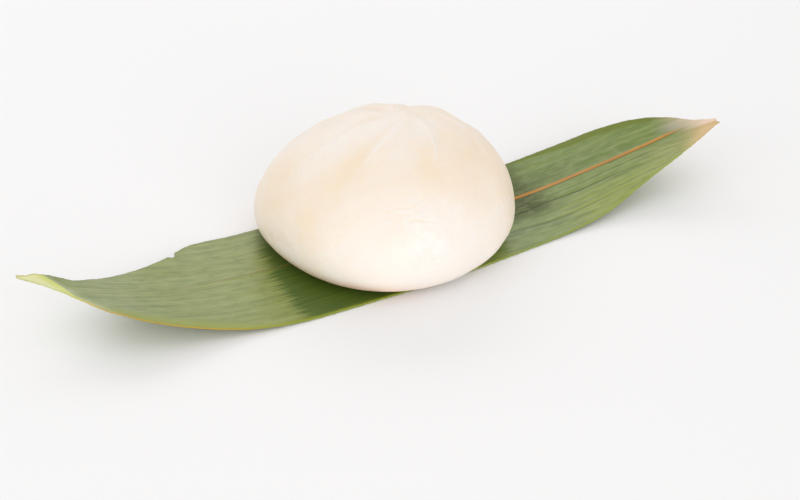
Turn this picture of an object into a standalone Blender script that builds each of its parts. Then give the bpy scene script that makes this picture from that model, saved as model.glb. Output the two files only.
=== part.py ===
"""A steamed baozi resting on a bamboo leaf.

Metres, +Z up. X runs along the leaf, from its long pointed end to its stalk end, Y across it,
and the leaf's flat middle lies on z = 0. The origin is under the middle of the whole.
"""

import math

import bmesh
import bpy
import numpy as np

# The bun: a soft dome on a flat round foot
BUN_RADIUS = 0.0483
BUN_HEIGHT = 0.0505
BELT_HEIGHT = 0.0117
FOOT_RADIUS = 0.0350
# How full its curves are: 1 is a straight slope and 2 an ellipse
BELLY_POWER = 2.25
CROWN_POWER = 1.80
SHOULDER_POWER = 1.80
CROWN_LEAN = (0.0078, 0.0006)
# Uneven roundness: how often it swells in a turn, by how much, and where in degrees
SWELLS = ((2, 0.039, -36.5), (3, 0.030, 1.2), (4, 0.004, -45.1))

# The pleats, each a crease beside a lip: its turn about the crown and how far it swirls on its
# way down, in degrees, its depth, and how far down it reaches as a share of the bun's radius.
# A depth below zero makes a ridge
CREASES = (
    (155, 12, 1.00, 0.92), (205, -10, 0.90, 0.84), (237, -50, -0.45, 0.60), (270, -48, 0.25, 0.50),
    (311, -73, -0.75, 0.88), (311, -34, -0.45, 0.58), (2, -67, 0.70, 0.86),
    (26, -52, 0.55, 0.70), (60, -32, 0.95, 0.84), (77, -26, 0.50, 0.62), (118, -14, 0.90, 0.84),
)
CREASE_DEPTH = 0.0006
CREASE_WIDTH = 0.0021
LIP_HEIGHT = 0.0005
NUB_HEIGHT = 0.0009
NUB_RADIUS = 0.0028
# Cushions and hollows of the crown: turn in degrees, distance from it, height and size
CUSHIONS = (
    (-10, 0.0353, 0.0003, 0.0060), (4, 0.0288, -0.0006, 0.0052), (18, 0.0213, 0.0005, 0.0056),
    (46, 0.0256, -0.0005, 0.0052), (62, 0.0185, -0.0007, 0.0085), (65, 0.0215, 0.0002, 0.0030),
    (97, 0.0235, 0.0006, 0.0073), (117, 0.0330, -0.0006, 0.0095),
)

# The leaf: a thin strip with its midrib along X
LEAF_THICKNESS = 0.0005
GAP = 0.0003
BUN_PLACE = (-0.0001, 0.0016)
LEAF_HALF_LENGTH = 0.1450
# Stations along the leaf: the place on X, and the half-widths towards +Y and towards -Y
STATIONS = (
    (-0.1450, 0.0003, 0.0003),
    (-0.1415, 0.0014, 0.0006),
    (-0.1380, 0.0029, 0.0010),
    (-0.1310, 0.0039, 0.0036),
    (-0.1250, 0.0037, 0.0085),
    (-0.1180, 0.0059, 0.0172),
    (-0.1100, 0.0083, 0.0236),
    (-0.1000, 0.0117, 0.0272),
    (-0.0860, 0.0180, 0.0306),
    (-0.0690, 0.0276, 0.0341),
    (-0.0600, 0.0288, 0.0353),
    (-0.0450, 0.0288, 0.0362),
    (0.0000, 0.0286, 0.0366),
    (0.0500, 0.0262, 0.0329),
    (0.0800, 0.0238, 0.0298),
    (0.1080, 0.0236, 0.0216),
    (0.1220, 0.0212, 0.0164),
    (0.1300, 0.0170, 0.0123),
    (0.1360, 0.0105, 0.0086),
    (0.1400, 0.0040, 0.0056),
    (0.1450, 0.0006, 0.0020),
)
# Each end springs up from the floor, the tip once more: where it starts, and its rate for 1 m
POINTED_END = (0.0480, 2.70)
TIP_RISE = (0.1250, 2.90)
STALK_END = (0.0540, 3.00)
# The stalk end also curves sideways, towards -Y
BEND_START = 0.0640
BEND_RATE = 37.0
# The pointed end turns over about its length
TWIST_START = 0.1120
TWIST_DEG = 38.0
WAVE_HEIGHT = 0.0006
WAVE_LENGTH = 0.0780
TEAR_PLACE = -0.0805
TEAR_SIZE = 0.0020

# Mesh fineness, and the share of the rings below the belt that reaches the foot's edge
BUN_TURNS = 120
BUN_RINGS = 36
FOOT_EDGE = 0.62
LEAF_STEPS = 76
LEAF_ROWS = 8


def smooth_step(low, high, value):
    """0 below low, 1 above high, and an even curve between them."""
    share = np.clip((value - low) / (high - low), 0.0, 1.0)
    return share * share * (3.0 - 2.0 * share)


def smooth_curve(places, values, at):
    """A cubic through the stations that doesn't swing past them."""
    places, values = np.array(places), np.array(values)
    steps = np.diff(places)
    slopes = np.diff(values) / steps
    tangents = np.zeros(len(places))
    same_way = slopes[:-1] * slopes[1:] > 0
    mean = 2 * slopes[:-1] * slopes[1:] / np.where(same_way, slopes[:-1] + slopes[1:], 1.0)
    tangents[1:-1] = np.where(same_way, mean, 0.0)
    tangents[0], tangents[-1] = slopes[0], slopes[-1]
    span = np.clip(np.searchsorted(places, at) - 1, 0, len(steps) - 1)
    step = steps[span]
    t = (at - places[span]) / step
    return (
        values[span] * (1 + 2 * t) * (1 - t) ** 2
        + values[span + 1] * t * t * (3 - 2 * t)
        + step * t * (1 - t) * (tangents[span] * (1 - t) - tangents[span + 1] * t)
    )


def bun_profile(rise):
    """Radius and height of the bun without its folds.

    rise runs from -1 at the foot's middle, through 0 at the belt, to 1 at the crown.
    """
    under = np.clip((-rise - FOOT_EDGE) / (1 - FOOT_EDGE), 0.0, 1.0)
    below = np.clip(-rise / FOOT_EDGE, 0.0, 1.0) * math.pi / 2
    above = np.clip(rise, 0.0, 1.0) * math.pi / 2
    belly = np.maximum(np.cos(below), 0.0) ** (2 / BELLY_POWER)
    belly_radius = FOOT_RADIUS + (BUN_RADIUS - FOOT_RADIUS) * belly
    belly_height = BELT_HEIGHT * (1 - np.sin(below) ** (2 / BELLY_POWER))
    dome_radius = BUN_RADIUS * np.maximum(np.cos(above), 0.0) ** (2 / SHOULDER_POWER)
    dome_height = np.sin(above) ** (2 / CROWN_POWER)
    radius = np.where(rise > 0, dome_radius, belly_radius) * (1 - under)
    height = np.where(
        rise > 0, BELT_HEIGHT + (BUN_HEIGHT - BELT_HEIGHT) * dome_height, belly_height
    )
    return radius, height


def fold_relief(turn, radius, height):
    """How far the pleats stand out from the dome, and fall into it, at each place."""
    share = radius / BUN_RADIUS
    relief = np.zeros_like(turn)
    for degrees, swirl, depth, reach in CREASES:
        path = math.radians(degrees) + math.radians(swirl) * share
        away = (turn - path + math.pi) % (2 * math.pi) - math.pi
        across = away * radius
        fade = smooth_step(0.02, 0.16, share) * (1 - smooth_step(0.35 * reach, reach, share))
        groove = np.exp(-((across / CREASE_WIDTH) ** 2))
        lip = np.exp(-(((across - 1.9 * CREASE_WIDTH) / (1.6 * CREASE_WIDTH)) ** 2))
        relief += depth * fade * (LIP_HEIGHT * lip - CREASE_DEPTH * groove)
    for degrees, reach, rise, size in CUSHIONS:
        place = math.radians(degrees)
        away = np.hypot(
            radius * np.cos(turn) - reach * math.cos(place),
            radius * np.sin(turn) - reach * math.sin(place),
        )
        relief += rise * np.exp(-((away / size) ** 2))
    nub = NUB_HEIGHT * np.exp(-((radius / NUB_RADIUS) ** 2))
    moat = 0.5 * NUB_HEIGHT * np.exp(-(((radius - 2.4 * NUB_RADIUS) / NUB_RADIUS) ** 2))
    on_dome = smooth_step(BELT_HEIGHT, BELT_HEIGHT + 0.008, height)
    return on_dome * (relief + nub - moat)


def bun_points(turn, rise):
    """Places on the bun's skin, with its foot on z = 0 and its axis on x = y = 0."""
    step = 1e-3
    radius, height = bun_profile(rise)
    inner = bun_profile(np.minimum(rise + step, 1.0))
    outer = bun_profile(np.maximum(rise - step, -1.0))
    run, climb = inner[0] - outer[0], inner[1] - outer[1]
    length = np.maximum(np.hypot(run, climb), 1e-12)
    relief = fold_relief(turn, radius, height)
    swell = 1.0
    for times, amount, degrees in SWELLS:
        swell = swell + amount * np.cos(times * (turn - math.radians(degrees)))
    radius = radius * swell + relief * climb / length
    lifted = height - relief * run / length
    lean = (height / BUN_HEIGHT) ** 2
    return np.stack(
        [
            CROWN_LEAN[0] * lean + radius * np.cos(turn),
            CROWN_LEAN[1] * lean + radius * np.sin(turn),
            lifted,
        ],
        axis=-1,
    )


def leaf_points(along, across):
    """Places on the leaf's underside: along is X, and across runs from -1 to 1 over its width."""
    places, back, front = zip(*STATIONS)
    side = np.where(
        across > 0, smooth_curve(places, back, along), smooth_curve(places, front, along)
    )
    width = across * side
    pointed = POINTED_END[1] * np.maximum(-along - POINTED_END[0], 0.0) ** 2
    pointed = pointed + TIP_RISE[1] * np.maximum(-along - TIP_RISE[0], 0.0) ** 2
    stalk = STALK_END[1] * np.maximum(along - STALK_END[0], 0.0) ** 2
    bend = -BEND_RATE * np.maximum(along - BEND_START, 0.0) ** 3
    roll = math.radians(TWIST_DEG) * smooth_step(TWIST_START, LEAF_HALF_LENGTH, -along)
    free = smooth_step(0.045, 0.085, np.abs(along))
    wave = WAVE_HEIGHT * free * np.abs(across) ** 1.5
    wave = wave * (1 + np.sin(along / WAVE_LENGTH * 2 * math.pi + 2.0 * np.sign(across)))
    return np.stack(
        [
            along,
            bend + width * np.cos(roll),
            pointed + stalk + wave + width * np.sin(roll),
        ],
        axis=-1,
    )


def clear_scene():
    for old in list(bpy.data.objects):
        bpy.data.objects.remove(old)


def new_collection(name):
    collection = bpy.data.collections.new(name)
    bpy.context.scene.collection.children.link(collection)
    return collection


def new_material(name, colour, roughness):
    material = bpy.data.materials.new(name)
    material.use_nodes = True
    shader = material.node_tree.nodes["Principled BSDF"]
    shader.inputs["Base Color"].default_value = (*colour, 1.0)
    shader.inputs["Roughness"].default_value = roughness
    shader.inputs["Metallic"].default_value = 0.0
    return material


def add_object(name, mesh, collection, material=None):
    made = bpy.data.objects.new(name, mesh)
    collection.objects.link(made)
    if material:
        mesh.materials.append(material)
    return made


def read_points(mesh):
    points = np.empty(len(mesh.vertices) * 3)
    mesh.vertices.foreach_get("co", points)
    return points.reshape(-1, 3)


def write_points(mesh, points):
    mesh.vertices.foreach_set("co", points.ravel())
    mesh.update()


def make_bun(collection):
    """A ball shaped into the dome, with its poles at the foot's middle and at the crown."""
    shape = bmesh.new()
    bmesh.ops.create_uvsphere(shape, u_segments=BUN_TURNS, v_segments=BUN_RINGS, radius=1.0)
    mesh = bpy.data.meshes.new("bun")
    shape.to_mesh(mesh)
    shape.free()
    ball = read_points(mesh)
    turn = np.arctan2(ball[:, 1], ball[:, 0])
    rise = np.arcsin(np.clip(ball[:, 2], -1.0, 1.0)) / (math.pi / 2)
    write_points(mesh, bun_points(turn, rise))
    mesh.shade_smooth()
    material = new_material("steamed_dough", (0.90, 0.83, 0.70), 0.55)
    bun = add_object("bun", mesh, collection, material)
    bun.location = (*BUN_PLACE, LEAF_THICKNESS + GAP)
    return bun


def make_leaf(collection, cutters):
    """A grid shaped into the leaf's underside, thickened upwards, with the small tear cut out."""
    shape = bmesh.new()
    bmesh.ops.create_grid(shape, x_segments=LEAF_STEPS, y_segments=LEAF_ROWS, size=1.0)
    bmesh.ops.triangulate(shape, faces=shape.faces, quad_method="FIXED")
    mesh = bpy.data.meshes.new("leaf")
    shape.to_mesh(mesh)
    shape.free()
    grid = read_points(mesh)
    # The columns lie closer together towards the two ends
    along = LEAF_HALF_LENGTH * (1.25 * grid[:, 0] - 0.25 * grid[:, 0] ** 3)
    write_points(mesh, leaf_points(along, grid[:, 1]))
    material = new_material("bamboo_leaf", (0.28, 0.35, 0.15), 0.45)
    leaf = add_object("leaf", mesh, collection, material)
    thicken = leaf.modifiers.new("thickness", "SOLIDIFY")
    thicken.thickness = LEAF_THICKNESS
    thicken.offset = 1.0
    thicken.use_even_offset = True
    cut = leaf.modifiers.new("tear", "BOOLEAN")
    cut.operation = "DIFFERENCE"
    cut.object = make_tear(cutters)
    return leaf


def make_tear(cutters):
    """The cutter of the small tear in the leaf's edge."""
    places, back, _ = zip(*STATIONS)
    edge = float(smooth_curve(places, back, np.array([TEAR_PLACE]))[0])
    lift = float(leaf_points(np.array([TEAR_PLACE]), np.array([1.0]))[0, 2])
    shape = bmesh.new()
    bmesh.ops.create_cone(
        shape, cap_ends=True, segments=7, radius1=TEAR_SIZE, radius2=TEAR_SIZE, depth=0.006
    )
    mesh = bpy.data.meshes.new("tear_cutter")
    shape.to_mesh(mesh)
    shape.free()
    cutter = add_object("tear_cutter", mesh, cutters)
    cutter.location = (TEAR_PLACE, edge, lift)
    cutter.hide_render = True
    cutter.display_type = "WIRE"
    return cutter


def centre_on_origin(objects, followers):
    """Moves the whole, and what follows it, so that the middle of its box is over the origin."""
    bpy.context.view_layer.update()
    graph = bpy.context.evaluated_depsgraph_get()
    corners = np.array(
        [
            made.evaluated_get(graph).matrix_world @ vertex.co
            for made in objects
            for vertex in made.evaluated_get(graph).data.vertices
        ]
    )
    middle = (corners.min(0) + corners.max(0)) / 2
    for made in (*objects, *followers):
        made.location.x -= middle[0]
        made.location.y -= middle[1]


def main():
    clear_scene()
    parts = new_collection("baozi")
    cutters = new_collection("cutters")
    bun = make_bun(parts)
    leaf = make_leaf(parts, cutters)
    centre_on_origin([bun, leaf], cutters.objects)


main()
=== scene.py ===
"""Looks of a steamed baozi on a bamboo leaf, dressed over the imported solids.

Metres, +Z up, X along the leaf, with the leaf's flat middle on z = 0.
Both pieces are shaped by the same driving dimensions as the solids, with finer relief on top.
"""

import math
from types import SimpleNamespace

import bmesh
import bpy
import numpy as np
from mathutils import Matrix, Vector


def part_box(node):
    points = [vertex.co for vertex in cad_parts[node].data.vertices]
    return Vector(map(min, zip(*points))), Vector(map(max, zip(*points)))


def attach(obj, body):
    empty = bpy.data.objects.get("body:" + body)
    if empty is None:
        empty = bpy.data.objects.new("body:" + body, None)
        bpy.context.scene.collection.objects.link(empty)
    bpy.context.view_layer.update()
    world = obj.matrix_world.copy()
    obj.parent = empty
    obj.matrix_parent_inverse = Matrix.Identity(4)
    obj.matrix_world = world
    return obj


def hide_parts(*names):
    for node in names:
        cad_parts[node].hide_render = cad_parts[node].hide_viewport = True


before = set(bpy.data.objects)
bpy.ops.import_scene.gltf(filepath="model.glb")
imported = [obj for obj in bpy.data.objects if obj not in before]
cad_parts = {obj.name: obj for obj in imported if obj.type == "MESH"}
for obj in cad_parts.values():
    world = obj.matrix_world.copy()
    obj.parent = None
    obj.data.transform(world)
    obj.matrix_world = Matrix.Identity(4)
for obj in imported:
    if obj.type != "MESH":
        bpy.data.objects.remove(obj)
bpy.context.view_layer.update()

# The bun: a soft dome on a flat round foot
BUN_RADIUS = 0.0483
BUN_HEIGHT = 0.0505
BELT_HEIGHT = 0.0117
FOOT_RADIUS = 0.0350
FOOT_EDGE = 0.62
BELLY_POWER = 2.25
CROWN_POWER = 1.80
SHOULDER_POWER = 1.80
# How far the crown leans along X and along Y
CROWN_LEAN = (0.0078, 0.0006)
# Swells of the outline: how many go round, their share of the radius, and their turn in degrees
SWELLS = ((2, 0.039, -36.5), (3, 0.030, 1.2), (4, 0.004, -45.1))

# The pleats: turn and swirl in degrees, depth, and reach as a share of the bun's radius.
# Where the depth is negative, the pleat is a thin ridge instead of a groove.
CREASES = (
    (155, 12, 1.00, 0.92), (211, -10, 0.90, 0.84), (237, -50, -0.45, 0.60), (270, -48, 0.25, 0.50),
    (311, -73, -0.75, 0.78), (311, -34, -0.45, 0.58), (2, -67, 0.70, 0.86),
    (26, -52, 0.55, 0.70), (60, -32, 0.95, 0.84), (77, -26, 0.50, 0.62), (118, -14, 0.90, 0.84),
)
CREASE_DEPTH = 0.00042
CREASE_WIDTH = 0.0023
# Shares of the bun's radius over which a pleat deepens, and the share of its reach where it fades
CREASE_START = (0.04, 0.22)
CREASE_FADE = 0.30
# A broad lip and a thin crest run along each groove, so many widths of the groove from it; the
# crest is also painted pale as a highlight
LIP_HEIGHT = 0.00045
LIP_PLACE = 1.9 * CREASE_WIDTH
LIP_WIDTH = 1.6 * CREASE_WIDTH
RIDGE_HEIGHT = 0.00022
RIDGE_WIDTH = 0.0006
CREST_HEIGHT = 0.5 * RIDGE_HEIGHT
CREST_PLACE = 1.25 * CREASE_WIDTH
# The nub in the middle of the crown, and the shallow ring round it
NUB_HEIGHT = 0.0009
NUB_RADIUS = 0.0028
MOAT_DEPTH = 0.25 * NUB_HEIGHT
MOAT_RADIUS = 2.4 * NUB_RADIUS
# Cushions and hollows of the crown: turn in degrees, distance from it, height and size
CUSHIONS = (
    (-10, 0.0353, 0.0003, 0.0060), (4, 0.0288, -0.0006, 0.0052), (18, 0.0213, 0.0005, 0.0056),
    (46, 0.0256, -0.0005, 0.0052), (62, 0.0185, -0.0007, 0.0085), (65, 0.0215, 0.0002, 0.0030),
    (97, 0.0235, 0.0006, 0.0073), (117, 0.0330, -0.0006, 0.0095),
)

# Wrinkles of the skin: points as (turn in degrees, height), then how far they stand out
WRINKLES = (
    (((-131, 0.0302), (-127, 0.0307), (-121.5, 0.0314)), 0.00012),
    (
        ((-121.5, 0.0314), (-119.5, 0.0321), (-116, 0.0328), (-111.5, 0.0324), (-107.5, 0.0330)),
        0.00030,
    ),
    (((-107.5, 0.0330), (-104, 0.0341), (-101.5, 0.0346)), 0.00030),
    (((-101.5, 0.0346), (-98.5, 0.0353), (-96, 0.0361)), 0.00014),
    (((-111.5, 0.0295), (-108, 0.0300), (-104.5, 0.0295), (-99, 0.0288), (-95, 0.0280)), -0.00034),
    (((-95, 0.0280), (-93, 0.0261), (-89, 0.0203), (-92, 0.0141)), 0.00014),
    (((-116, 0.0286), (-112, 0.0242), (-106.5, 0.0185), (-104, 0.0150)), 0.00016),
    (((-47, 0.0260), (-46.5, 0.0200), (-49, 0.0147)), 0.00042),
    (((-44, 0.0300), (-43.5, 0.0220), (-45, 0.0150)), -0.00034),
    (((-52, 0.0180), (-54, 0.0120), (-58, 0.0085)), -0.00020),
    (((-154, 0.0317), (-151, 0.0320), (-146, 0.0315)), 0.00013),
    (((-146, 0.0290), (-142, 0.0296)), -0.00013),
    (((-162, 0.0352), (-158, 0.0357)), 0.00012),
    (((-188, 0.0343), (-184, 0.0335)), -0.00013),
)
WRINKLE_WIDTH = 0.00045
# The furrow on both sides of a wrinkle, as shares of the wrinkle's height and width
FURROW_DEPTH = 0.5
FURROW_WIDTH = 2.4

# The smooth blister at the front, with faint rings, as (turn in degrees, height)
BLISTER = (-99.5, 0.0222)
BLISTER_RADIUS = 0.0115
RING_SPACING = 0.0024
RING_HEIGHT = 0.00008
# Distances over which the rings begin, and shares of the blister's radius over which they end
RINGS_BEGIN = (0.002, 0.005)
RINGS_END = (0.6, 1.15)
# How far the rings wander, over which length, and the seed
RING_WOBBLE = (0.0007, 0.006, 4)

# Small dents: (turn in degrees, height, radius, depth)
DENTS = (
    (-184, 0.0108, 0.0020, 0.00030),
    (-170, 0.0128, 0.0022, 0.00028),
    (-177, 0.0118, 0.0012, 0.00018),
    (-82.5, 0.0155, 0.0008, 0.00020),
    (-151.5, 0.0315, 0.0009, 0.00014),
    (-145, 0.0332, 0.0008, 0.00012),
    (-130, 0.0295, 0.0007, 0.00012),
)

# Beige areas and pale areas of the skin: (turn in degrees, height, radius, tone). The pale areas
# low on the bun, 6 to 12 mm up, are painted light that lifts the shade by its foot
TONES = (
    (-195, 0.0286, 0.014, 0.18),
    (-208, 0.0400, 0.014, -0.24),
    (-188, 0.0430, 0.010, -0.14),
    (-164, 0.0240, 0.014, 0.26),
    (-158, 0.0350, 0.014, 0.12),
    (-149, 0.0466, 0.005, 0.14),
    (-157, 0.0437, 0.005, 0.20),
    (-161.5, 0.0413, 0.005, 0.20),
    (-162, 0.0371, 0.006, 0.16),
    (-56, 0.0459, 0.005, 0.14),
    (-94, 0.0456, 0.0045, 0.28),
    (-98, 0.0430, 0.0045, 0.28),
    (-97, 0.0400, 0.0050, 0.18),
    (-66.5, 0.0426, 0.009, 0.22),
    (-73, 0.0329, 0.008, 0.14),
    (-109, 0.0376, 0.007, 0.12),
    (-134, 0.0430, 0.008, 0.10),
    (-54.5, 0.0450, 0.009, 0.08),
    (-50, 0.0290, 0.012, 0.12),
    (-163.5, 0.0218, 0.006, 0.10),
    (150, 0.0250, 0.022, 0.06),
    (-36, 0.0180, 0.008, 0.20),
    (-31, 0.0300, 0.018, 0.30),
    (-99.5, 0.0222, 0.013, -0.30),
    (-148, 0.0224, 0.011, -0.12),
    # Painted light, low at the front, against the shade by the foot
    (-120, 0.0120, 0.018, -0.18),
    (-100, 0.0060, 0.018, -0.18),
    (-80, 0.0120, 0.016, -0.18),
    (-143, 0.0490, 0.012, -0.30),
    # Painted light, low on the left, against the shade by the foot
    (-160, 0.0080, 0.014, -0.20),
    (-60, 0.0220, 0.012, -0.14),
)
PLAIN_TONE = 0.40
# How much the tone changes on a groove as painted shade, on a crest and a ridge as painted
# highlight, and for each metre of a wrinkle's height as painted highlight on its raised parts and
# painted shade in its furrows
GROOVE_SHADE_TONE = 0.20
CREST_HIGHLIGHT_TONE = -0.34
RIDGE_HIGHLIGHT_TONE = -0.45
WRINKLE_LIGHT_AND_SHADE_TONE = -2400
# Random relief and random tone of the skin: height or tone, length of the swells, and seed
SKIN_RELIEF = ((0.00016, 0.022, 1), (0.00005, 0.008, 2), (0.000016, 0.0026, 3))
SKIN_TONES = ((0.05, 0.020, 5), (0.035, 0.007, 6))
# Painted shade, a warmer tan, low on the bun's left by the foot: heights over which it ends, its
# turn, and how it narrows
SHADED_FOOT_HEIGHTS = (0.0028, 0.0092)
SHADED_FOOT_TURN = 195
SHADED_FOOT_SPREAD = (0.2, 0.9)

# The leaf: a thin strip with its midrib along X
LEAF_HALF_LENGTH = 0.1450
LEAF_THICKNESS = 0.00040
# Stations along the leaf: the place on X, and the half-widths towards +Y and towards -Y
STATIONS = (
    (-0.1450, 0.0003, 0.0003),
    (-0.1415, 0.0014, 0.0006),
    (-0.1380, 0.0029, 0.0010),
    (-0.1310, 0.0039, 0.0036),
    (-0.1250, 0.0037, 0.0085),
    (-0.1180, 0.0059, 0.0172),
    (-0.1100, 0.0083, 0.0236),
    (-0.1000, 0.0117, 0.0272),
    (-0.0860, 0.0180, 0.0306),
    (-0.0690, 0.0276, 0.0341),
    (-0.0600, 0.0288, 0.0353),
    (-0.0450, 0.0288, 0.0362),
    (0.0000, 0.0286, 0.0366),
    (0.0500, 0.0262, 0.0329),
    (0.0800, 0.0238, 0.0298),
    (0.1080, 0.0236, 0.0216),
    (0.1220, 0.0212, 0.0164),
    (0.1300, 0.0170, 0.0123),
    (0.1360, 0.0105, 0.0086),
    (0.1400, 0.0040, 0.0056),
    (0.1450, 0.0006, 0.0020),
)
# The rise of the ends: where it starts, and its rate, which goes with the square of the distance
POINTED_END = (0.0480, 2.70)
TIP_RISE = (0.1250, 2.90)
STALK_END = (0.0540, 3.00)
# The sideways bend of the stalk end, which goes with the cube of the distance
BEND_START = 0.0640
BEND_RATE = 37.0
# The pointed end's roll about the midrib
TWIST_START = 0.1120
TWIST_DEG = 38.0
# The waves of the edges, and the distances from the middle over which they begin
WAVE_HEIGHT = 0.0006
WAVE_LENGTH = 0.0780
WAVE_START = (0.045, 0.085)
# The tear in the back edge: its place and depth, and where it opens and closes past that place
TEAR_PLACE = -0.0805
TEAR_SIZE = 0.0020
TEAR_OPENS = (-0.0024, -0.0002)
TEAR_CLOSES = (0.0010, 0.0014)
# The fine unevenness of the edges: its height, and two rates in radians a metre
FRAY_HEIGHT = 0.00012
FRAY_RATES = (1900, 730)

# The midrib and two sharp lengthwise folds: places on X, and the offset towards +Y there
MIDRIB = (
    (-0.1450, -0.0050), (-0.1150, -0.0042), (-0.1025, -0.0026), (-0.0850, -0.0007),
    (-0.0720, 0.0003), (-0.0585, 0.0008), (-0.0445, 0.0002), (0.0300, 0.0008), (0.0610, 0.0011),
    (0.0860, 0.0008), (0.1065, 0.0003), (0.1190, 0.0006), (0.1320, 0.0021), (0.1390, 0.0028),
    (0.1450, 0.0030),
)
NEAR_FOLD = (
    (-0.1450, -0.0100), (0.0400, -0.0105), (0.0550, -0.0097), (0.0705, -0.0086), (0.0830, -0.0094),
    (0.1030, -0.0094), (0.1125, -0.0107), (0.1450, -0.0120),
)
FAR_FOLD = (
    (-0.1450, -0.0200), (0.0480, -0.0202), (0.0660, -0.0213), (0.0815, -0.0204), (0.1000, -0.0197),
    (0.1450, -0.0190),
)
# Places on X and the width there of the yellow front margin, partly painted light, and of the back
# margin, painted a saturated green as shade
YELLOW_AND_LIT_MARGIN = (
    (-0.1450, 0.0010), (-0.1195, 0.0044), (-0.1150, 0.0058), (-0.1090, 0.0070), (-0.0880, 0.0062),
    (-0.0660, 0.0026), (-0.0400, 0.0014), (0.0500, 0.0008), (0.1100, 0.0011), (0.1450, 0.0008),
)
SHADED_BACK_MARGIN = (
    (-0.1450, 0.0001), (0.0600, 0.0004), (0.0780, 0.0018), (0.0900, 0.0036), (0.1020, 0.0054),
    (0.1190, 0.0056), (0.1275, 0.0040), (0.1350, 0.0018), (0.1450, 0.0005),
)
# The fold of the turned tip: offset from the midrib, and place on X
TIP_FOLD = (
    (-0.0200, -0.1180), (-0.0119, -0.1218), (-0.0085, -0.1242), (-0.0048, -0.1275),
    (-0.0012, -0.1292), (0.0010, -0.1315), (0.0035, -0.1352), (0.0100, -0.1400),
)
# Where the painted shadow beside the bun begins: offset from the midrib, and place on X
BUN_SHADOW_EDGE = (
    (-0.040, -0.0520), (-0.020, -0.0520), (-0.011, -0.0517), (0.000, -0.0497), (0.0125, -0.0470),
    (0.026, -0.0430), (0.040, -0.0400),
)
# Relief of the leaf: the folds' dents and lips, the raised midrib, and ripples along the veins
FOLD_WIDTH = 0.0007
FOLD_DEPTH = 0.00018
FOLD_LIP = 0.00007
FOLD_LIFT = 0.00002
RIB_HEIGHT = 0.00010
RIB_WIDTH = 0.0008
RIPPLE_HEIGHT = 0.00004
RIPPLE_SPACING = 0.0052
# Places on X over which the near fold, the far fold and the wide midrib begin and end
NEAR_FOLD_SHOWN = (0.030, 0.050, 0.080, 0.122)
FAR_FOLD_SHOWN = (0.030, 0.050, 0.080, 0.110)
RIB_SHOWN = (0.000, 0.040, 0.126, 0.138)
# Places on X over which the brown stalk end begins, and how much sooner it does at the front edge
STALK_START = (0.1290, 0.1445)
STALK_LEAD = 0.0060
# The middle of the lilac mark near the stalk end, and its half-lengths along and across the leaf
LILAC_PLACE = (0.133, 0.0055)
LILAC_SIZE = (0.0045, 0.0035)

# Three values to a layer, which the leaf's points keep for its material
LEAF_LAYERS = {
    "place": ("along", "offset", "edge"),
    "margins": ("front_margin", "back_margin", "past_fold"),
    "marks": ("stalk", "to_front", "lilac"),
    "zones": ("inside", "greyer", "front"),
    "lines": ("rib", "near", "far"),
    "folds": ("near_shown", "far_shown", "rib_shown"),
}
# Noises of the leaf: swells to a metre along it and across it, detail and roughness
LEAF_NOISES = {
    "bands": (14.0, 150.0, 2.0, 0.5),
    "streaks": (22.0, 620.0, 3.0, 0.6),
    "dark_streaks": (20.8, 494.0, 2.0, 0.5),
    "veins": (12.0, 1500.0, 2.0, 0.6),
    "hairs": (9.0, 2300.0, 1.0, 0.5),
    "dapple": (160.0, 420.0, 2.0, 0.5),
    "flecks": (300.0, 620.0, 0.0, 0.5),
}

# Display colours from 0 to 255
DOUGH_PALE = (242, 234, 226)
DOUGH_BEIGE = (242, 223, 198)
DOUGH_FOOT_SHADE = (236, 186, 152)
DOUGH_BLISTER_GLOSS = (246, 242, 237)
LEAF_COLOURS = {
    "left_dark": (124, 136, 54),
    "left_light": (133, 144, 71),
    "left_near_bun": (146, 154, 76),
    "left_end_sheen": (146, 156, 112),
    "right_dark": (98, 122, 38),
    "right_light": (116, 138, 54),
    "right_front_lit": (152, 164, 64),
    "right_dry": (168, 164, 88),
    "pale_streak": (146, 156, 92),
    "dark_streak": (80, 100, 32),
    "vein": (90, 108, 40),
    "hair": (74, 92, 32),
    "greyed": (70, 78, 34),
    "light_dapple": (152, 160, 98),
    "deep_dapple": (96, 116, 40),
    "wet": (60, 88, 6),
    "wet_streak": (80, 106, 16),
    "wet_hair": (44, 66, 8),
    "fold": (42, 60, 24),
    "back_margin": (104, 118, 10),
    "front_margin_left": (140, 150, 26),
    "front_margin_right": (146, 162, 62),
    "glint": (186, 190, 160),
    "tip": (206, 212, 120),
    "tip_end": (224, 224, 168),
    "back_rim": (140, 124, 76),
    "front_rim": (150, 164, 58),
    "warm_rim": (196, 150, 44),
    "lilac": (166, 160, 146),
    "stalk_back": (231, 208, 186),
    "stalk_front": (208, 175, 120),
    "beside_rib": (84, 66, 28),
    "rib_dark": (180, 118, 22),
    "rib_light": (200, 138, 34),
    "thin_rib": (128, 104, 50),
    "fleck": (74, 76, 34),
}
FLOOR_COLOUR = (245, 245, 246)

# Mesh fineness
BUN_TURNS = 440
BUN_RINGS = 196
# Levels on a ball, from -1 to 1, of the rings that become the middle of the foot, its edge,
# the belt and the top
RING_LEVELS = (-1.0, -0.86, -0.40, 1.0)
LEAF_STEPS = 440
LEAF_ROWS = 108
# How much the leaf's steps crowd towards its ends
END_CROWDING = 0.25

# The camera: where it stands, its turn, tilt and roll in degrees, its lens and film in millimetres
CAMERA_PLACE = (-0.2599, -0.4453, 0.3190)
CAMERA_TURN = -31.0
CAMERA_TILT = 32.25
CAMERA_ROLL = 1.52
CAMERA_LENS = 70.0
CAMERA_FILM = 36.0

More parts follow.
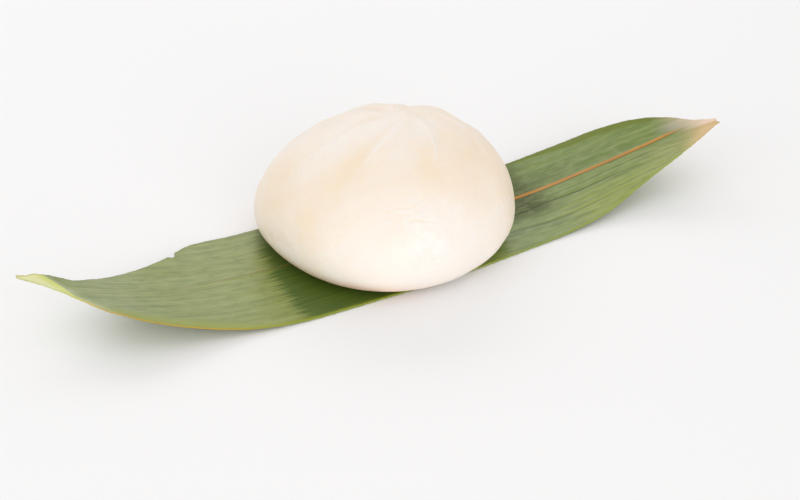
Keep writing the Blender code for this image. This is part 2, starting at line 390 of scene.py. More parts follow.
# The studio. Softboxes: place to the camera's right, away from it and up, size, and power in watts
SOFTBOXES = {
    "key": ((0.55, -1.05, 0.50), (1.0, 0.8), 3.10),
    "low": ((0.25, -1.20, 0.13), (1.3, 0.2), 1.6),
    "fill": ((-1.05, -0.80, 0.42), (0.9, 0.7), 2.6),
    "back": ((-0.30, 1.27, 0.80), (1.8, 0.5), 4.5),
}
SOFTBOX_TARGET = (0.0, 0.0, 0.02)
SKY_COLOUR = (1.0, 0.988, 0.975)
SKY_STRENGTH = 0.815
FLOOR_SIZE = 6.0
FLOOR_LEVEL = -0.0001


def linear(red, green, blue):
    """A display colour from 0 to 255 as the linear colour that a shader takes."""
    shares = [value / 255 for value in (red, green, blue)]
    return tuple(s / 12.92 if s <= 0.04045 else ((s + 0.055) / 1.055) ** 2.4 for s in shares)


def smooth_step(low, high, value):
    """0 below low, 1 above high, and an even curve between them."""
    share = np.clip((value - low) / (high - low), 0.0, 1.0)
    return share * share * (3.0 - 2.0 * share)


def smooth_curve(places, values, at):
    """A cubic through the stations that doesn't swing past them."""
    places, values = np.array(places), np.array(values)
    steps = np.diff(places)
    slopes = np.diff(values) / steps
    tangents = np.zeros(len(places))
    same_way = slopes[:-1] * slopes[1:] > 0
    mean = 2 * slopes[:-1] * slopes[1:] / np.where(same_way, slopes[:-1] + slopes[1:], 1.0)
    tangents[1:-1] = np.where(same_way, mean, 0.0)
    tangents[0], tangents[-1] = slopes[0], slopes[-1]
    span = np.clip(np.searchsorted(places, at) - 1, 0, len(steps) - 1)
    step = steps[span]
    t = (at - places[span]) / step
    return (
        values[span] * (1 + 2 * t) * (1 - t) ** 2
        + values[span + 1] * t * t * (3 - 2 * t)
        + step * t * (1 - t) * (tangents[span] * (1 - t) - tangents[span + 1] * t)
    )


def drift(points, length, seed, waves=22):
    """Smooth random relief of about unit height whose swells are about one length across."""
    draw = np.random.default_rng(seed)
    total = np.zeros(len(points))
    for _ in range(waves):
        way = draw.normal(size=3)
        way /= np.linalg.norm(way)
        turns = 2 * math.pi / (length * draw.uniform(0.7, 1.6))
        total += np.cos(points @ way * turns + draw.uniform(0, 2 * math.pi))
    return total / math.sqrt(waves / 2)


def bell(distance, width):
    """1 at no distance, falling smoothly to about a third one width away."""
    return np.exp(-((distance / width) ** 2))


def shown_between(places, at):
    """1 between the two inner places, and 0 beyond the two outer ones."""
    return smooth_step(*places[:2], at) * (1 - smooth_step(*places[2:], at))


# The bun's shape


def bun_profile(rise):
    """Radius and height of the plain bun, for rise from -1 at the foot to 1 at the crown."""
    under = np.clip((-rise - FOOT_EDGE) / (1 - FOOT_EDGE), 0.0, 1.0)
    below = np.clip(-rise / FOOT_EDGE, 0.0, 1.0) * math.pi / 2
    above = np.clip(rise, 0.0, 1.0) * math.pi / 2
    belly = np.maximum(np.cos(below), 0.0) ** (2 / BELLY_POWER)
    belly_radius = FOOT_RADIUS + (BUN_RADIUS - FOOT_RADIUS) * belly
    belly_height = BELT_HEIGHT * (1 - np.sin(below) ** (2 / BELLY_POWER))
    dome_radius = BUN_RADIUS * np.maximum(np.cos(above), 0.0) ** (2 / SHOULDER_POWER)
    dome_height = np.sin(above) ** (2 / CROWN_POWER)
    radius = np.where(rise > 0, dome_radius, belly_radius) * (1 - under)
    height = np.where(
        rise > 0, BELT_HEIGHT + (BUN_HEIGHT - BELT_HEIGHT) * dome_height, belly_height
    )
    return radius, height


def bun_place(turn, radius, height):
    """The place on the dome for a turn about the crown, a plain radius and a height."""
    swell = 1.0
    for times, amount, degrees in SWELLS:
        swell = swell + amount * np.cos(times * (turn - math.radians(degrees)))
    lean = (height / BUN_HEIGHT) ** 2
    return np.stack(
        [
            CROWN_LEAN[0] * lean + radius * swell * np.cos(turn),
            CROWN_LEAN[1] * lean + radius * swell * np.sin(turn),
            height * np.ones_like(turn),
        ],
        axis=-1,
    )


def skin_place(degrees, height):
    """The place on the dome at a turn in degrees and a height above the foot."""
    if height > BELT_HEIGHT:
        share = (height - BELT_HEIGHT) / (BUN_HEIGHT - BELT_HEIGHT)
        radius = BUN_RADIUS * (1 - share**CROWN_POWER) ** (1 / SHOULDER_POWER)
    else:
        share = 1 - height / BELT_HEIGHT
        belly = (1 - share**BELLY_POWER) ** (1 / BELLY_POWER)
        radius = FOOT_RADIUS + (BUN_RADIUS - FOOT_RADIUS) * belly
    return bun_place(np.array(math.radians(degrees)), radius, height)


def spot(points, degrees, height, size):
    """1 in the middle of a round soft spot on the skin, falling to 0 around it."""
    return bell(np.linalg.norm(points - skin_place(degrees, height), axis=1), size)


def crease_shapes(turn, radius):
    """How much of a groove, a lip, a thin ridge and a crest of the pleats each place has, the crest
    being painted pale as a highlight.
    """
    share = radius / BUN_RADIUS
    groove, lip, ridge, crest = (np.zeros_like(turn) for _ in range(4))
    for degrees, swirl, depth, reach in CREASES:
        path = math.radians(degrees) + math.radians(swirl) * share
        away = (turn - path + math.pi) % (2 * math.pi) - math.pi
        across = away * radius
        fade = shown_between((*CREASE_START, CREASE_FADE * reach, reach), share)
        groove += depth * fade * bell(across, CREASE_WIDTH)
        lip += depth * fade * bell(across - LIP_PLACE, LIP_WIDTH)
        ridge += max(-depth, 0.0) * fade * bell(across, RIDGE_WIDTH)
        crest += max(depth, 0.0) * fade * bell(across - CREST_PLACE, RIDGE_WIDTH)
    return groove, lip, ridge, crest


def distance_to_line(points, stops):
    """Distance from each point to a line through the stops."""
    nearest = np.full(len(points), np.inf)
    for start, end in zip(stops[:-1], stops[1:]):
        run = end - start
        share = np.clip((points - start) @ run / (run @ run), 0.0, 1.0)
        nearest = np.minimum(nearest, np.linalg.norm(points - start - share[:, None] * run, axis=1))
    return nearest


def wrinkles(points):
    """Thin raised wrinkles between shallow furrows, or the reverse where the height is negative."""
    relief = np.zeros(len(points))
    for stops, height in WRINKLES:
        stops = np.array([skin_place(*stop) for stop in stops])
        away = distance_to_line(points, stops)
        furrow = FURROW_DEPTH * bell(away, FURROW_WIDTH * WRINKLE_WIDTH)
        relief += height * (bell(away, WRINKLE_WIDTH) - furrow)
    return relief


def blister_rings(points):
    """Faint uneven rings round the blister's middle."""
    away = np.linalg.norm(points - skin_place(*BLISTER), axis=1)
    reach, length, seed = RING_WOBBLE
    wobble = away + reach * drift(points, length, seed)
    rings = np.cos(2 * math.pi * wobble / RING_SPACING) * smooth_step(*RINGS_BEGIN, away)
    return RING_HEIGHT * rings * (1 - smooth_step(*RINGS_END, away / BLISTER_RADIUS))


def crown_relief(turn, radius):
    """The cushions and hollows of the crown, and the nub in its middle."""
    relief = NUB_HEIGHT * bell(radius, NUB_RADIUS)
    relief -= MOAT_DEPTH * bell(radius - MOAT_RADIUS, NUB_RADIUS)
    for degrees, reach, rise, size in CUSHIONS:
        place = math.radians(degrees)
        ahead = radius * np.cos(turn) - reach * math.cos(place)
        aside = radius * np.sin(turn) - reach * math.sin(place)
        relief += rise * bell(np.hypot(ahead, aside), size)
    return relief


def skin_relief(points):
    """Fine relief of the skin: swells, wrinkles, the front blister and dents."""
    relief = sum(rise * drift(points, length, seed) for rise, length, seed in SKIN_RELIEF)
    relief += wrinkles(points) + blister_rings(points)
    for degrees, height, size, depth in DENTS:
        relief -= depth * spot(points, degrees, height, size)
    return relief


def skin_tone(points, pleats):
    """How beige the skin is at each place, from 0, pale, to 1, with painted shade and painted
    highlights along the pleats and wrinkles.
    """
    tone = PLAIN_TONE + pleats + WRINKLE_LIGHT_AND_SHADE_TONE * wrinkles(points)
    for amount, length, seed in SKIN_TONES:
        tone += amount * drift(points, length, seed)
    for degrees, height, size, amount in TONES:
        tone += amount * spot(points, degrees, height, size)
    return np.clip(tone, 0.0, 1.0)


# The leaf's shape


def leaf_half_width(along, across):
    """The width from midrib to edge on the side of each place, with the tear and the fray."""
    places, back, front = zip(*STATIONS)
    side = np.where(
        across > 0, smooth_curve(places, back, along), smooth_curve(places, front, along)
    )
    past = along - TEAR_PLACE
    tear = smooth_step(*TEAR_OPENS, past) * (1 - smooth_step(*TEAR_CLOSES, past))
    tear = TEAR_SIZE * tear * smooth_step(0.55, 1.0, across)
    fray = FRAY_HEIGHT * np.sin(along * FRAY_RATES[0]) * np.sin(along * FRAY_RATES[1] + 1)
    return side - tear + fray * np.abs(across) ** 6


def leaf_lines(along, offset):
    """Distances from the midrib and from the two folds, and how much each fold shows."""
    rib, near, far = (
        offset - smooth_curve(*zip(*path), along) for path in (MIDRIB, NEAR_FOLD, FAR_FOLD)
    )
    begin, full, fade, end = NEAR_FOLD_SHOWN
    near_shown = smooth_step(begin, full, along) * (1 - 0.8 * smooth_step(fade, end, along))
    far_shown = 0.6 * shown_between(FAR_FOLD_SHOWN, along)
    return rib, near, far, near_shown, far_shown


def leaf_relief(along, offset):
    """Fine relief of the leaf: ripples along its veins, folds, and a raised midrib."""
    phase = offset * 2 * math.pi / RIPPLE_SPACING + 0.6 * np.sin(along * 55)
    rib, near, far, near_shown, far_shown = leaf_lines(along, offset)
    relief = RIPPLE_HEIGHT * (0.5 + 0.5 * np.sin(phase)) + RIB_HEIGHT * bell(rib, RIB_WIDTH)
    for away, shown in ((near, near_shown), (far, far_shown)):
        relief = relief + FOLD_LIFT - FOLD_DEPTH * shown * bell(away, FOLD_WIDTH)
        relief = relief + FOLD_LIP * shown * bell(away - 2.5 * FOLD_WIDTH, 2 * FOLD_WIDTH)
    return relief


def painted_bun_shade(along, offset):
    """How grey the green is: on the right beside the bun, as painted shade of the bun, and more
    weakly further on just behind the midrib.
    """
    further = 0.5 * smooth_step(0.100, 0.070, along) * bell(offset - 0.0045, 0.0045)
    beside = smooth_step(0.080, 0.062, along) * smooth_step(-0.019, -0.007, offset)
    return np.maximum(further, beside) * smooth_step(0.0, 0.03, along)


def leaf_looks(along, offset, edge):
    """The values by which the leaf is painted, by the names that LEAF_LAYERS gives them."""
    looks = {"along": along, "offset": offset, "edge": edge}
    to_front = smooth_step(0.001, -0.001, offset)
    # The yellow front margin, partly painted light, and the back margin, painted as shade
    yellow = 1 - smooth_step(0.2, 1.2, edge / smooth_curve(*zip(*YELLOW_AND_LIT_MARGIN), along))
    green = 1 - smooth_step(0.6, 1.15, edge / smooth_curve(*zip(*SHADED_BACK_MARGIN), along))
    looks["to_front"] = to_front
    looks["front_margin"] = yellow * to_front
    looks["back_margin"] = green * (1 - to_front)
    looks["past_fold"] = along - smooth_curve(*zip(*TIP_FOLD), offset)
    lead = STALK_LEAD * smooth_step(0.0060, 0.0, edge) * to_front
    looks["stalk"] = smooth_step(*STALK_START, along + lead)
    lilac = bell(along - LILAC_PLACE[0], LILAC_SIZE[0])
    looks["lilac"] = lilac * bell(offset - LILAC_PLACE[1], LILAC_SIZE[1])
    # Painted shadow of the bun on the left
    looks["inside"] = along - smooth_curve(*zip(*BUN_SHADOW_EDGE), offset)
    # Painted shade beside the bun on the right
    looks["greyer"] = painted_bun_shade(along, offset)
    looks["front"] = smooth_step(-0.006, -0.020, offset)
    names = ("rib", "near", "far", "near_shown", "far_shown")
    looks.update(zip(names, leaf_lines(along, offset)))
    looks["rib_shown"] = shown_between(RIB_SHOWN, along)
    return looks


def leaf_points(along, across):
    """Places on the leaf's underside, with the offset from the midrib and the gap to the edge."""
    side = leaf_half_width(along, across)
    offset = across * side
    edge = (1 - np.abs(across)) * side
    pointed = POINTED_END[1] * np.maximum(-along - POINTED_END[0], 0.0) ** 2
    pointed = pointed + TIP_RISE[1] * np.maximum(-along - TIP_RISE[0], 0.0) ** 2
    stalk = STALK_END[1] * np.maximum(along - STALK_END[0], 0.0) ** 2
    bend = -BEND_RATE * np.maximum(along - BEND_START, 0.0) ** 3
    roll = math.radians(TWIST_DEG) * smooth_step(TWIST_START, LEAF_HALF_LENGTH, -along)
    wave = WAVE_HEIGHT * smooth_step(*WAVE_START, np.abs(along)) * np.abs(across) ** 1.5
    wave = wave * (1 + np.sin(along / WAVE_LENGTH * 2 * math.pi + 2.0 * np.sign(across)))
    relief = leaf_relief(along, offset) * smooth_step(0.0, 0.0020, side)
    height = pointed + stalk + wave + offset * np.sin(roll) + relief
    points = np.stack([along, bend + offset * np.cos(roll), height], axis=-1)
    return points, offset, edge


# Meshes


def new_mesh(name, shape):
    mesh = bpy.data.meshes.new(name)
    shape.to_mesh(mesh)
    shape.free()
    return mesh


def new_object(name, data):
    thing = bpy.data.objects.new(name, data)
    bpy.context.scene.collection.objects.link(thing)
    return thing


def read_points(mesh):
    points = np.empty(len(mesh.vertices) * 3)
    mesh.vertices.foreach_get("co", points)
    return points.reshape(-1, 3)


def write_points(mesh, points):
    mesh.vertices.foreach_set("co", points.ravel())
    mesh.update()


def add_values(mesh, name, values):
    """Keeps three values for each point, for the material to read."""
    layer = mesh.attributes.new(name, "FLOAT_VECTOR", "POINT")
    layer.data.foreach_set("vector", np.stack(values, axis=1).ravel())


def settle_on(points, node):
    """Moves the points so that their box has the middle and the lowest level of the node's box."""
    low, high = (np.array(corner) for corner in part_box(node))
    own_low, own_high = points.min(0), points.max(0)
    shift = (low + high) / 2 - (own_low + own_high) / 2
    shift[2] = low[2] - own_low[2]
    return points + shift


def add_piece(name, mesh, node, material):
    mesh.shade_smooth()
    mesh.materials.append(material)
    piece = new_object(name, mesh)
    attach(piece, "root")
    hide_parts(node)
    return piece


def dome_facing(turn, rise):
    """The direction in which the plain dome's skin faces at each place."""
    step = 1e-3
    radius, height = bun_profile(rise)
    ahead = bun_place(turn, *bun_profile(np.minimum(rise + step, 1.0)))
    behind = bun_place(turn, *bun_profile(np.maximum(rise - step, -1.0)))
    left = bun_place(turn + step, radius, height)
    right = bun_place(turn - step, radius, height)
    outward = np.cross(left - right, ahead - behind)
    size = np.linalg.norm(outward, axis=1, keepdims=True)
    upright = np.array([0.0, 0.0, 1.0]) * np.sign(rise)[:, None]
    return np.where(size > 1e-12, outward / np.maximum(size, 1e-12), upright)


def make_bun(material):
    shape = bmesh.new()
    bmesh.ops.create_uvsphere(shape, u_segments=BUN_TURNS, v_segments=BUN_RINGS, radius=1.0)
    mesh = new_mesh("bun_skin", shape)
    ball = read_points(mesh)
    turn = np.arctan2(ball[:, 1], ball[:, 0])
    level = np.arcsin(np.clip(ball[:, 2], -1.0, 1.0)) / (math.pi / 2)
    # Most of the rings lie on the dome and few under the foot
    rise = np.interp(level, RING_LEVELS, (-1.0, -FOOT_EDGE, 0.0, 1.0))
    radius, height = bun_profile(rise)
    points = bun_place(turn, radius, height)

    # The pleats fade out towards the belt, and all relief towards the foot
    groove, lip, ridge, crest = crease_shapes(turn, radius)
    on_dome = smooth_step(BELT_HEIGHT, BELT_HEIGHT + 0.008, height)
    pleats = LIP_HEIGHT * lip - CREASE_DEPTH * groove + CREST_HEIGHT * crest + RIDGE_HEIGHT * ridge
    relief = on_dome * pleats + crown_relief(turn, radius) + skin_relief(points)
    relief *= smooth_step(0.0, 0.006, height)
    outward = dome_facing(turn, rise)
    write_points(mesh, settle_on(points + relief[:, None] * outward, "bun"))

    # Painted shade in the grooves and painted highlights on the crests and ridges of the pleats
    shade = GROOVE_SHADE_TONE * np.maximum(groove, 0.0) + CREST_HIGHLIGHT_TONE * crest + RIDGE_HIGHLIGHT_TONE * ridge
    tone = skin_tone(points, on_dome * shade)
    # Painted warm shade low on the bun's left, by the foot
    foot = 1 - smooth_step(*SHADED_FOOT_HEIGHTS, height)
    foot *= smooth_step(*SHADED_FOOT_SPREAD, np.cos(turn - math.radians(SHADED_FOOT_TURN)))
    blister = spot(points, *BLISTER, BLISTER_RADIUS)
    add_values(mesh, "tone", (tone, foot, blister))
    return add_piece("bun_skin", mesh, "bun", material)


def make_leaf(material):
    shape = bmesh.new()
    bmesh.ops.create_grid(shape, x_segments=LEAF_STEPS, y_segments=LEAF_ROWS, size=1.0)
    mesh = new_mesh("leaf_blade", shape)
    run, across, _ = read_points(mesh).T
    along = LEAF_HALF_LENGTH * ((1 + END_CROWDING) * run - END_CROWDING * run**3)
    points, offset, edge = leaf_points(along, across)
    write_points(mesh, settle_on(points, "leaf"))
    looks = leaf_looks(along, offset, edge)
    for layer, names in LEAF_LAYERS.items():
        add_values(mesh, layer, [looks[name] for name in names])
    leaf = add_piece("leaf_blade", mesh, "leaf", material)
    thicken = leaf.modifiers.new("thickness", "SOLIDIFY")
    thicken.thickness = LEAF_THICKNESS
    thicken.offset = 1.0
    return leaf


# Materials


class Nodes:
    """Short calls for building a material's nodes."""

    def __init__(self, name):
        self.material = bpy.data.materials.new(name)
        self.material.use_nodes = True
        self.tree = self.material.node_tree
        self.shader = self.tree.nodes["Principled BSDF"]

    def link(self, source, target):
        self.tree.links.new(source, target)

    def put(self, value, socket):
        if isinstance(value, bpy.types.NodeSocket):
            self.link(value, socket)
        else:
            socket.default_value = value

    def add(self, kind, **settings):
        node = self.tree.nodes.new(kind)
        for name, value in settings.items():
            setattr(node, name, value)
        return node

    def math(self, operation, first, second=0.0, clamp=False):
        node = self.add("ShaderNodeMath", operation=operation, use_clamp=clamp)
        self.put(first, node.inputs[0])
        self.put(second, node.inputs[1])
        return node.outputs[0]

    def product(self, first, *others):
        for other in others:
            first = self.math("MULTIPLY", first, other)
        return first

    def line(self, value, factor, start):
        """The start plus the factor times the value."""
        return self.math("ADD", start, self.math("MULTIPLY", value, factor))

    def step(self, low, high, value):
        """0 where value is at low and 1 where it is at high, also where high is the smaller."""
        node = self.add("ShaderNodeMapRange", interpolation_type="SMOOTHSTEP")
        node.inputs["From Min"].default_value = low
        node.inputs["From Max"].default_value = high
        self.put(value, node.inputs["Value"])
        return node.outputs["Result"]

    def mix(self, share, first, second):
        """The first colour where share is 0 and the second where it is 1."""
        node = self.add("ShaderNodeMix", data_type="RGBA")
        self.put(share, node.inputs[0])
        for value, socket in ((first, node.inputs[6]), (second, node.inputs[7])):
            self.put((*linear(*value), 1.0) if isinstance(value, tuple) else value, socket)
        return node.outputs[2]

    def lay(self, base, colour, share, strength=1.0):
        """The base colour with another laid over it, as far as share times strength."""
        if strength != 1.0:
            share = self.product(share, strength)
        return self.mix(share, base, colour)

    def noise(self, vector, scale, detail=2.0, roughness=0.5):
        node = self.add("ShaderNodeTexNoise")
        node.inputs["Scale"].default_value = scale
        node.inputs["Detail"].default_value = detail
        node.inputs["Roughness"].default_value = roughness
        self.put(vector, node.inputs["Vector"])
        return node.outputs["Fac"]

    def stretched(self, vector, scale):
        node = self.add("ShaderNodeMapping")
        node.inputs["Scale"].default_value = scale
        self.put(vector, node.inputs["Vector"])
        return node.outputs["Vector"]

    def split(self, vector):
        node = self.add("ShaderNodeSeparateXYZ")
        self.link(vector, node.inputs[0])
        return node.outputs

    def attribute(self, name, output):
        return self.add("ShaderNodeAttribute", attribute_name=name).outputs[output]

    def bump(self, height, distance, strength=1.0, normal=None):
        node = self.add("ShaderNodeBump")
        node.inputs["Distance"].default_value = distance
        node.inputs["Strength"].default_value = strength
        self.put(height, node.inputs["Height"])
        if normal:
            self.put(normal, node.inputs["Normal"])
        return node.outputs["Normal"]


def dough_material():
    nodes = Nodes("steamed_dough")
    where = nodes.add("ShaderNodeTexCoord").outputs["Object"]
    tone, foot, blister = nodes.split(nodes.attribute("tone", "Vector"))
    fine = nodes.math("SUBTRACT", nodes.noise(where, 420.0, 3.0, 0.6), 0.5)
    tone = nodes.math("ADD", tone, nodes.product(fine, 0.30))
    colour = nodes.mix(nodes.step(0.0, 1.0, tone), DOUGH_PALE, DOUGH_BEIGE)
    # Painted warm shade by the foot
    colour = nodes.lay(colour, DOUGH_FOOT_SHADE, foot, 0.60)
    # The blister is whiter in uneven patches: partly its thin skin, partly a painted highlight of
    # its gloss
    patches = nodes.step(0.42, 0.62, nodes.noise(where, 190.0, 3.0, 0.6))
    colour = nodes.lay(colour, DOUGH_BLISTER_GLOSS, nodes.product(patches, blister), 0.50)
    nodes.link(colour, nodes.shader.inputs["Base Color"])
    skin = nodes.bump(nodes.noise(where, 900.0, 4.0, 0.6), 0.00006, 0.6)
    pores = nodes.step(0.70, 0.78, nodes.noise(where, 520.0, 1.0))
    nodes.link(nodes.bump(pores, -0.00008, 0.5, skin), nodes.shader.inputs["Normal"])
    nodes.link(nodes.line(blister, -0.16, 0.50), nodes.shader.inputs["Roughness"])
    nodes.shader.inputs["Specular IOR Level"].default_value = 0.45
    nodes.shader.inputs["Subsurface Weight"].default_value = 0.20
    nodes.shader.inputs["Subsurface Radius"].default_value = (1.0, 0.6, 0.35)
    nodes.shader.inputs["Subsurface Scale"].default_value = 0.004
    return nodes.material


def leaf_inputs(nodes):
    """The values that the leaf's points keep, and its noises, as outputs by name."""
    leaf = SimpleNamespace()
    for layer, names in LEAF_LAYERS.items():
        for name, output in zip(names, nodes.split(nodes.attribute(layer, "Vector"))):
            setattr(leaf, name, output)
    place = nodes.attribute("place", "Vector")
    for name, (along, across, detail, roughness) in LEAF_NOISES.items():
        stretched = nodes.stretched(place, (along, across, 0.0))
        setattr(leaf, name, nodes.noise(stretched, 1.0, detail, roughness))
    # How far to the right each place is, and how far into the painted shadow of the bun, with its
    # ragged edge
    leaf.ahead = nodes.step(-0.010, 0.050, leaf.along)
    coarse = nodes.product(nodes.math("SUBTRACT", leaf.streaks, 0.5), 0.006)
    fine = nodes.product(nodes.math("SUBTRACT", leaf.hairs, 0.5), 0.013)
    ragged = nodes.math("ADD", nodes.math("ADD", coarse, fine), leaf.inside)
    left_part = nodes.step(0.020, -0.005, leaf.along)
    # Painted shadow of the bun on the left part
    leaf.wet = nodes.product(nodes.step(-0.0030, 0.0025, ragged), left_part)
    # Painted shade of the bun on the right, in streaks
    leaf.greyed = nodes.math(
        "MULTIPLY", leaf.greyer, nodes.math("ADD", 0.62, leaf.streaks), clamp=True
    )
    return leaf


def leaf_ground(nodes, leaf, paint):
    """The ground: greyish to the left, partly as painted sheen, lighter still with painted sheen at
    the left end; greener to the right, with painted light along its front, and drier at the front
    towards the stalk end.
    """
    broad = nodes.step(0.32, 0.68, leaf.bands)
    left = nodes.mix(broad, paint["left_dark"], paint["left_light"])
    left = nodes.lay(left, paint["left_near_bun"], nodes.step(-0.088, -0.062, leaf.along), 0.45)
    # Painted sheen on the rising left end
    left = nodes.lay(left, paint["left_end_sheen"], nodes.step(-0.092, -0.116, leaf.along), 0.7)
    right = nodes.mix(broad, paint["right_dark"], paint["right_light"])
    # Painted light along the right part's front, which faces the light
    lighter = nodes.product(leaf.front, nodes.step(0.060, 0.085, leaf.along))
    right = nodes.lay(right, paint["right_front_lit"], lighter, 0.75)
    dry = nodes.product(nodes.step(0.104, 0.132, leaf.along), nodes.step(0.0, -0.004, leaf.offset))
    right = nodes.lay(right, paint["right_dry"], dry, 0.70)
    return nodes.mix(leaf.ahead, left, right)


def leaf_grain(nodes, leaf, paint, green):
    """Streaks, veins and hairlines, the painted shade beside the bun, and light and deep dapples.
    """
    green = nodes.lay(green, paint["pale_streak"], nodes.step(0.42, 0.75, leaf.streaks), 0.6)
    dark = nodes.step(0.50, 0.66, leaf.dark_streaks)
    dark = nodes.product(dark, nodes.line(leaf.ahead, 0.18, 0.30))
    green = nodes.lay(green, paint["dark_streak"], dark)
    green = nodes.lay(green, paint["vein"], nodes.step(0.45, 0.70, leaf.veins), 0.36)
    green = nodes.lay(green, paint["hair"], nodes.step(0.58, 0.72, leaf.hairs), 0.40)
    # Painted shade beside the bun
    green = nodes.lay(green, paint["greyed"], leaf.greyed, 0.90)
    green = nodes.lay(green, paint["light_dapple"], nodes.step(0.46, 0.66, leaf.dapple), 0.28)
    return nodes.lay(green, paint["deep_dapple"], nodes.step(0.48, 0.32, leaf.dapple), 0.30)


def leaf_wet_zone(nodes, leaf, paint, green):
    """The painted shadow beside the bun, where it blocks the light and the sheen."""
    wet = nodes.mix(nodes.step(0.40, 0.75, leaf.streaks), paint["wet"], paint["wet_streak"])
    wet = nodes.lay(wet, paint["wet_hair"], nodes.step(0.55, 0.70, leaf.hairs), 0.4)
    return nodes.lay(green, wet, leaf.wet, 0.92)


def leaf_folds(nodes, leaf, paint, green):
    """The two sharp lengthwise folds, as dark lines of painted shade in their creases."""
    for away, shown in ((leaf.near, leaf.near_shown), (leaf.far, leaf.far_shown)):
        # Painted shade along each fold
        line = nodes.step(0.00050, 0.00015, nodes.math("ABSOLUTE", away))
        green = nodes.lay(green, paint["fold"], nodes.product(line, shown), 0.85)
    return green


def leaf_margins(nodes, leaf, paint, green):
    """The back margin, a saturated green painted as shade where it curls away from the sheen, and
    the yellow front margin, partly its own colour and partly painted light where it faces the
    light.
    """
    # Painted shade on the back margin
    green = nodes.lay(green, paint["back_margin"], leaf.back_margin, 0.78)
    # The yellow front margin, partly its own colour and partly painted light
    uneven = nodes.line(leaf.streaks, 0.7, 0.62)
    share = nodes.math("MULTIPLY", leaf.front_margin, uneven, clamp=True)
    margin = nodes.mix(leaf.ahead, paint["front_margin_left"], paint["front_margin_right"])
    return nodes.lay(green, margin, share, 0.90)


def leaf_tip(nodes, leaf, paint, green):
    """The pale turned tip, with a glint before its fold."""
    glint = nodes.step(0.0032, 0.0004, leaf.past_fold)
    green = nodes.lay(green, paint["glint"], glint, 0.42)
    tip = nodes.mix(nodes.step(-0.0010, -0.0060, leaf.past_fold), paint["tip"], paint["tip_end"])
    return nodes.lay(green, tip, nodes.step(0.0004, -0.0006, leaf.past_fold))


def leaf_rim(nodes, leaf, paint, green):
    """The thin rim, which is warm along the left half's front."""
    left_half = nodes.step(-0.055, -0.085, leaf.along)
    before_tip = nodes.step(-0.132, -0.122, leaf.along)
    warm = nodes.product(left_half, before_tip, leaf.to_front)
    colour = nodes.mix(leaf.to_front, paint["back_rim"], paint["front_rim"])
    colour = nodes.mix(warm, colour, paint["warm_rim"])
    rim = nodes.product(nodes.step(0.00055, 0.00015, leaf.edge), nodes.line(warm, 0.35, 0.35))
    return nodes.lay(green, colour, rim)


def leaf_stalk(nodes, leaf, paint, green):
    """The stalk end, which fades to a pinkish brown in streaks."""
    green = nodes.lay(green, paint["lilac"], leaf.lilac, 0.6)
    uneven = nodes.line(leaf.streaks, 0.8, 0.62)
    share = nodes.math("MULTIPLY", leaf.stalk, uneven, clamp=True)
    bare = nodes.mix(leaf.to_front, paint["stalk_back"], paint["stalk_front"])
    return nodes.lay(green, bare, share)


def leaf_midrib(nodes, leaf, paint, green):
    """The midrib: wide and tan to the right with a dark line in front of it, thin to the left."""
    before = nodes.math("ABSOLUTE", nodes.math("ADD", leaf.rib, 0.0009))
    before = nodes.product(nodes.step(0.0007, 0.0002, before), leaf.rib_shown)
    green = nodes.lay(green, paint["beside_rib"], before, 0.6)
    gap = nodes.math("ABSOLUTE", leaf.rib)
    tan = nodes.mix(nodes.step(0.35, 0.65, leaf.streaks), paint["rib_dark"], paint["rib_light"])
    wide = nodes.product(nodes.step(0.00098, 0.00066, gap), leaf.rib_shown)
    green = nodes.lay(green, tan, wide, 0.92)
    begins, ends = nodes.step(-0.110, -0.060, leaf.along), nodes.step(0.030, 0.0, leaf.along)
    thin = nodes.product(nodes.step(0.00045, 0.00015, gap), begins, ends)
    return nodes.lay(green, paint["thin_rib"], thin, 0.65)


def leaf_material():
    nodes = Nodes("bamboo_leaf")
    leaf = leaf_inputs(nodes)
    colour = leaf_ground(nodes, leaf, LEAF_COLOURS)
    for layer in (
        leaf_grain, leaf_wet_zone, leaf_folds, leaf_margins, leaf_tip, leaf_rim, leaf_stalk,
        leaf_midrib,
    ):
        colour = layer(nodes, leaf, LEAF_COLOURS, colour)
    flecks = nodes.step(0.74, 0.80, leaf.flecks)
    colour = nodes.lay(colour, LEAF_COLOURS["fleck"], flecks, 0.22)
    nodes.link(colour, nodes.shader.inputs["Base Color"])

    grain = nodes.line(leaf.streaks, 0.8, leaf.veins)
    nodes.link(nodes.bump(grain, 0.00008, 0.6), nodes.shader.inputs["Normal"])
    # The area of painted shade beside the bun, the back margin painted as shade, and the painted
    # shadow of the bun are duller than the rest
    roughness = 0.36
    for share, amount in ((leaf.greyed, 0.30), (leaf.back_margin, 0.26), (leaf.wet, 0.16)):
        roughness = nodes.line(share, amount, roughness)
    nodes.link(roughness, nodes.shader.inputs["Roughness"])
    nodes.shader.inputs["Specular IOR Level"].default_value = 0.5
    return nodes.material


def floor_material():
    nodes = Nodes("pale_floor")
    nodes.shader.inputs["Base Color"].default_value = (*linear(*FLOOR_COLOUR), 1.0)
    nodes.shader.inputs["Roughness"].default_value = 0.55
    return nodes.material


# The studio


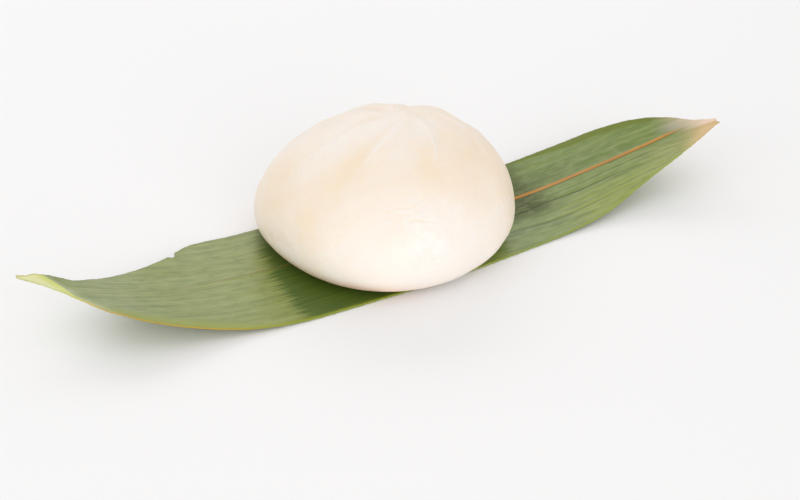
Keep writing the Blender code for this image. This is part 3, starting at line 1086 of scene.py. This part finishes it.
def add_floor():
    shape = bmesh.new()
    bmesh.ops.create_grid(shape, x_segments=1, y_segments=1, size=FLOOR_SIZE)
    mesh = new_mesh("floor", shape)
    mesh.materials.append(floor_material())
    floor = new_object("floor", mesh)
    floor.location.z = FLOOR_LEVEL


def add_softbox(name, place, size, power):
    data = bpy.data.lights.new(name, "AREA")
    data.shape = "RECTANGLE"
    data.size, data.size_y = size
    data.energy = power
    light = new_object(name, data)
    light.location = place
    light.rotation_mode = "QUATERNION"
    away = Vector(place) - Vector(SOFTBOX_TARGET)
    light.rotation_quaternion = away.to_track_quat("Z", "Y")


def from_camera_side(right, away, up):
    """A place given as seen from the camera: to its right, away from it, and up."""
    turn = math.radians(CAMERA_TURN)
    x = right * math.cos(turn) - away * math.sin(turn)
    y = right * math.sin(turn) + away * math.cos(turn)
    return x, y, up


def add_lights():
    world = bpy.data.worlds.new("studio")
    world.use_nodes = True
    background = world.node_tree.nodes["Background"]
    background.inputs["Color"].default_value = (*SKY_COLOUR, 1.0)
    background.inputs["Strength"].default_value = SKY_STRENGTH
    bpy.context.scene.world = world
    for name, (place, size, power) in SOFTBOXES.items():
        add_softbox(name, from_camera_side(*place), size, power)


def add_camera():
    turn, tilt, roll = (math.radians(d) for d in (CAMERA_TURN, CAMERA_TILT, CAMERA_ROLL))
    back = Vector(
        (math.sin(turn) * math.cos(tilt), -math.cos(turn) * math.cos(tilt), math.sin(tilt))
    )
    level = Vector((math.cos(turn), math.sin(turn), 0.0))
    upward = back.cross(level)
    right = math.cos(roll) * level + math.sin(roll) * upward
    upward = back.cross(right)
    data = bpy.data.cameras.new("camera")
    data.lens = CAMERA_LENS
    data.sensor_width = CAMERA_FILM
    camera = new_object("camera", data)
    axes = Matrix((right, upward, back)).transposed().to_4x4()
    camera.matrix_world = Matrix.Translation(CAMERA_PLACE) @ axes
    bpy.context.scene.camera = camera


add_floor()
add_lights()
add_camera()
bpy.context.scene.view_settings.view_transform = "Standard"
make_bun(dough_material())
make_leaf(leaf_material())

bpy.context.view_layer.update()
